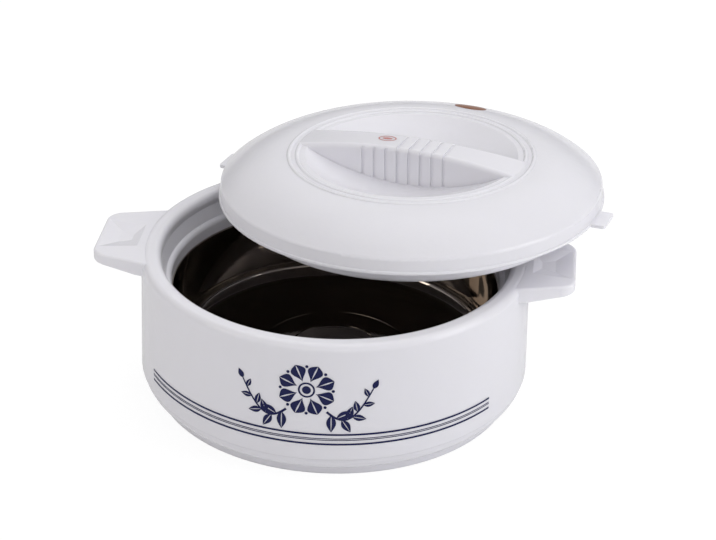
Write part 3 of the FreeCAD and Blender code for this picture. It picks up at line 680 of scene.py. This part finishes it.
def sprig(middle, side):
    """A leafy stem to one side of the rosette. Its height dips as a sine and rises as a square
    of the share run; leaves leave it in turn above and below, each shorter than the last."""
    foot = middle[1] - STEM_FOOT

    def point(share):
        """The stem's middle at a share of its run."""
        return (middle[0] + side * (STEM_START + STEM_REACH * share),
                foot - STEM_DIP * np.sin(math.pi * share) + STEM_RISE * share ** 2)

    def heading(share):
        """The way the stem runs at a share, from two points close by."""
        ahead, behind = point(share + STEM_PROBE), point(share - STEM_PROBE)
        return math.atan2(ahead[1] - behind[1], ahead[0] - behind[0])

    share = steps(0.0, 1.0, STEM_ROWS)
    width = across_steps(-1, 1, 3) * (STEM_HALF_WIDTH - STEM_THINNING * share)
    x, z = point(share)
    slope = np.gradient(z[:, 0], x[:, 0])[:, None]
    long = np.sqrt(1 + slope ** 2)
    patches = [(x - width * slope / long, z + width / long)]
    for number, length in enumerate(LEAF_LENGTHS):
        place = FIRST_LEAF + LEAF_SPACING * number
        above = 1 if number % 2 else -1
        angle = heading(place) + side * above * math.radians(LEAF_LEAN)
        for low, high in LEAF_HALVES:
            patches.append(leaf(point(place), angle, length, LEAF_HALF_WIDTH * length,
                                LEAF_FULLNESS, low, high))
    patches.append(leaf(point(1.0), heading(1.0), BUD_LENGTH, BUD_HALF_WIDTH, BUD_FULLNESS))
    return patches


class CASSEROLE_OT_print_flower(bpy.types.Operator):
    """Prints an eight-petalled flower between two leafy sprigs on the front"""
    bl_idname = "casserole.print_flower"
    bl_label = "Print Flower"

    def execute(self, context):
        chosen = context.scene.casserole_print
        middle = (0.0, chosen.flower_height)
        patches = rosette(middle) + sprig(middle, 1) + sprig(middle, -1)
        film("print_flower", patches, on_wall(chosen.flower_turn), chosen.film_low,
             chosen.film_high, ink_material("navy_flower_ink", chosen.ink, FLOWER_UNEVENNESS),
             "pot")
        return {"FINISHED"}


# The grip's mark: its middle along and across the grip, half widths and half heights of its ring
# and of the oval inside, and the ring's width. Then half width and half height of the flank's.
GRIP_MARK_ALONG, GRIP_MARK_ASIDE = -17.0 * MM, 2.0 * MM
GRIP_RING_WIDE, GRIP_RING_HIGH, GRIP_RING_WIDTH = 5.6 * MM, 3.6 * MM, 0.9 * MM
GRIP_OVAL_WIDE, GRIP_OVAL_HIGH = 3.4 * MM, 1.5 * MM
FLANK_OVAL_WIDE, FLANK_OVAL_HIGH, FLANK_OVAL_ROWS = 11.2 * MM, 6.4 * MM, 24


class CASSEROLE_OT_print_lid(bpy.types.Operator):
    """Prints a small oval ring on the grip and a plain oval on the lid's flank"""
    bl_idname = "casserole.print_lid"
    bl_label = "Print Lid"

    def execute(self, context):
        marks = context.scene.casserole_marks
        inks = context.scene.casserole_print
        middle = (0, 0)
        ring = [oval_ring(middle, GRIP_RING_WIDE, GRIP_RING_HIGH, GRIP_RING_WIDTH),
                disc(middle, GRIP_OVAL_WIDE, GRIP_OVAL_HIGH)]
        film("print_grip_mark", ring, on_grip(GRIP_MARK_ALONG, GRIP_MARK_ASIDE),
             inks.film_low, inks.film_high,
             ink_material("terracotta_ink", marks.grip_ink, GRIP_MARK_UNEVENNESS), "lid")
        oval = [disc(middle, FLANK_OVAL_WIDE, FLANK_OVAL_HIGH, FLANK_OVAL_ROWS)]
        film("print_flank_mark", oval, on_flank(marks.flank_radius, marks.flank_turn),
             inks.film_low, inks.film_high,
             ink_material("brown_ink", marks.flank_ink, FLANK_MARK_UNEVENNESS), "lid")
        return {"FINISHED"}


# ----------------------------------------------------------------- stage


# The room brightens between these two heights of a ray one metre long.
DARK_BELOW, BRIGHT_ABOVE = 0.1, 0.4
# Strength of the floor's glow as camera and mirrors see it, and its share beside the matte.
FLOOR_GLOW, MIRRORED_GLOW, GLOW_SHARE = 1.06, 0.7, 0.85
# Half the floor's side, and the height of the point that the lamps face.
FLOOR_HALF, LAMP_AIM = 40.0, 0.06
# The camera's sensor, in millimetres like its lens.
SENSOR_WIDTH = 36.0

# Colours of the lamps. The warm one lights the left, the others are neutral.
PLAIN, WARM = (1.0, 1.0, 1.0), (1.0, 0.94, 0.86)
LAMPS = (
    # name, turn from the front, elevation, distance, width, height, level, seen in mirrors, colour
    ("ceiling_box", 150.0, 78.0, 2.0, 2.0, 1.6, 0.19, True, PLAIN),
    ("right_box", 78.0, 24.0, 2.0, 1.0, 1.4, 0.42, True, PLAIN),
    ("front_box", -6.0, 23.0, 2.4, 2.2, 0.5, 0.12, True, PLAIN),
    ("left_front_box", -56.0, 27.0, 2.2, 0.9, 0.6, 0.12, True, WARM),
    ("back_box", 180.0, 35.0, 2.2, 1.6, 1.0, 0.24, False, PLAIN),
)


def room_light(chosen):
    """A room that is dark at eye level and brighter above, by the height of the ray. The camera
    itself sees it white."""
    world = bpy.data.worlds.new("room")
    bpy.context.scene.world = world
    world.use_nodes = True
    tree = world.node_tree
    tree.nodes.clear()
    place = add(tree, "ShaderNodeTexCoord").outputs["Generated"]
    parts = add(tree, "ShaderNodeSeparateXYZ")
    join(tree, place, parts.inputs["Vector"])
    fade = add(tree, "ShaderNodeMapRange", interpolation_type="SMOOTHSTEP")
    for label, value in (("From Min", DARK_BELOW), ("From Max", BRIGHT_ABOVE),
                         ("To Min", chosen.horizon), ("To Max", chosen.ceiling)):
        fade.inputs[label].default_value = value
    join(tree, parts.outputs["Z"], fade.inputs["Value"])
    ray = add(tree, "ShaderNodeLightPath")
    level = math_node(tree, "MAXIMUM", fade.outputs["Result"], ray.outputs["Is Camera Ray"])
    light = add(tree, "ShaderNodeBackground", color=WHITE)
    join(tree, level, light.inputs["Strength"])
    output = add(tree, "ShaderNodeOutputWorld")
    join(tree, light.outputs["Background"], output.inputs["Surface"])


def floor_material(chosen):
    """Pale floor that camera and glass see as white but for the object's shadow, and mirrors see
    a little darker."""
    material = bpy.data.materials.new("pale_floor")
    material.use_nodes = True
    tree = material.node_tree
    tree.nodes.clear()
    matte = add(tree, "ShaderNodeBsdfDiffuse", color=solid(chosen.floor))
    ray = add(tree, "ShaderNodeLightPath")
    loss = math_node(tree, "MULTIPLY", ray.outputs["Is Glossy Ray"], FLOOR_GLOW - MIRRORED_GLOW)
    glow = add(tree, "ShaderNodeEmission", color=WHITE)
    join(tree, math_node(tree, "SUBTRACT", FLOOR_GLOW, loss), glow.inputs["Strength"])
    seen = math_node(tree, "MAXIMUM", ray.outputs["Is Camera Ray"], ray.outputs["Is Glossy Ray"])
    seen = math_node(tree, "MAXIMUM", seen, ray.outputs["Is Transmission Ray"])
    share = math_node(tree, "MULTIPLY", seen, GLOW_SHARE)
    mix = add(tree, "ShaderNodeMixShader")
    for slot, source in zip(mix.inputs, (share, matte.outputs["BSDF"], glow.outputs["Emission"])):
        join(tree, source, slot)
    output = add(tree, "ShaderNodeOutputMaterial")
    join(tree, mix.outputs["Shader"], output.inputs["Surface"])
    return material


def lamp(name, turn, elevation, distance, width, height, level, mirrored, colour):
    """A soft box that faces the object, seen in mirrors or not. Its power gives a facing white
    surface the level asked, which is pi squared times the distance squared for a level of one."""
    data = bpy.data.lights.new(name, "AREA")
    data.shape = "RECTANGLE"
    data.size, data.size_y = width, height
    data.energy = level * math.pi ** 2 * distance ** 2
    data.color = colour
    box = bpy.data.objects.new(name, data)
    a, e = math.radians(turn), math.radians(elevation)
    away = Vector((math.sin(a) * math.cos(e), -math.cos(a) * math.cos(e), math.sin(e)))
    box.location = away * distance + Vector((0.0, 0.0, LAMP_AIM))
    box.rotation_euler = away.to_track_quat("Z", "Y").to_euler()
    box.visible_camera = False
    box.visible_glossy = mirrored
    bpy.context.scene.collection.objects.link(box)


def place_camera(chosen):
    """Camera turned round the upright axis, tipped down and rolled, at a distance from its
    aim."""
    turned = Matrix.Rotation(chosen.turn, 3, "Z")
    level, rise = math.cos(chosen.elevation), math.sin(chosen.elevation)
    aside = turned @ Vector((1.0, 0.0, 0.0))
    above = turned @ Vector((0.0, rise, level))
    back = turned @ Vector((0.0, -level, rise))
    aim = (Vector((0.0, 0.0, chosen.aim_height))
           + aside * chosen.aim_aside + above * chosen.aim_above)
    facing = (turned @ Matrix.Rotation(math.pi / 2 - chosen.elevation, 3, "X")
              @ Matrix.Rotation(chosen.roll, 3, "Z"))
    data = bpy.data.cameras.new("camera")
    data.lens, data.sensor_width = chosen.lens, SENSOR_WIDTH
    camera = bpy.data.objects.new("camera", data)
    camera.matrix_world = Matrix.Translation(aim + back * chosen.distance) @ facing.to_4x4()
    bpy.context.scene.collection.objects.link(camera)
    bpy.context.scene.camera = camera


class CASSEROLE_OT_set_stage(bpy.types.Operator):
    """Sets the floor, the lamps, the room and the camera"""
    bl_idname = "casserole.set_stage"
    bl_label = "Set Stage"

    def execute(self, context):
        chosen = context.scene.casserole_stage
        mesh = bpy.data.meshes.new("floor")
        corners = [(x * FLOOR_HALF, y * FLOOR_HALF, 0)
                   for x, y in ((-1, -1), (1, -1), (1, 1), (-1, 1))]
        mesh.from_pydata(corners, [], [(0, 1, 2, 3)])
        mesh.materials.append(floor_material(chosen))
        floor = bpy.data.objects.new("floor", mesh)
        context.scene.collection.objects.link(floor)
        for row in LAMPS:
            lamp(*row)
        room_light(chosen)
        place_camera(chosen)
        context.scene.view_settings.view_transform = "Standard"
        return {"FINISHED"}


OPERATORS = (
    CASSEROLE_OT_mould_plastic,
    CASSEROLE_OT_polish_steel,
    CASSEROLE_OT_pour_foam,
    CASSEROLE_OT_print_lines,
    CASSEROLE_OT_print_flower,
    CASSEROLE_OT_print_lid,
    CASSEROLE_OT_set_stage,
)


class CASSEROLE_PT_pieces(bpy.types.Panel):
    """Lists the casserole's finishes, prints and stage"""
    bl_idname = "CASSEROLE_PT_pieces"
    bl_label = "Casserole"
    bl_space_type = "VIEW_3D"
    bl_region_type = "UI"
    bl_category = "Casserole"

    def draw(self, context):
        for operator in OPERATORS:
            self.layout.operator(operator.bl_idname)
        for name, group in SETTINGS.items():
            box = self.layout.box()
            box.label(text=group.__doc__)
            for key in group.__annotations__:
                box.prop(getattr(context.scene, name), key)


def register():
    """Registers the settings, the operators and the panel."""
    for name, group in SETTINGS.items():
        bpy.utils.register_class(group)
        setattr(bpy.types.Scene, name, bpy.props.PointerProperty(type=group))
    for kind in (*OPERATORS, CASSEROLE_PT_pieces):
        bpy.utils.register_class(kind)


def unregister():
    """Takes back what register did, the panel first."""
    for kind in (CASSEROLE_PT_pieces, *reversed(OPERATORS)):
        bpy.utils.unregister_class(kind)
    for name, group in SETTINGS.items():
        delattr(bpy.types.Scene, name)
        bpy.utils.unregister_class(group)


def main():
    """Finishes and prints every piece and sets the stage."""
    register()
    for operator in OPERATORS:
        group, action = operator.bl_idname.split(".")
        getattr(getattr(bpy.ops, group), action)()


if __name__ == "__main__":
    main()
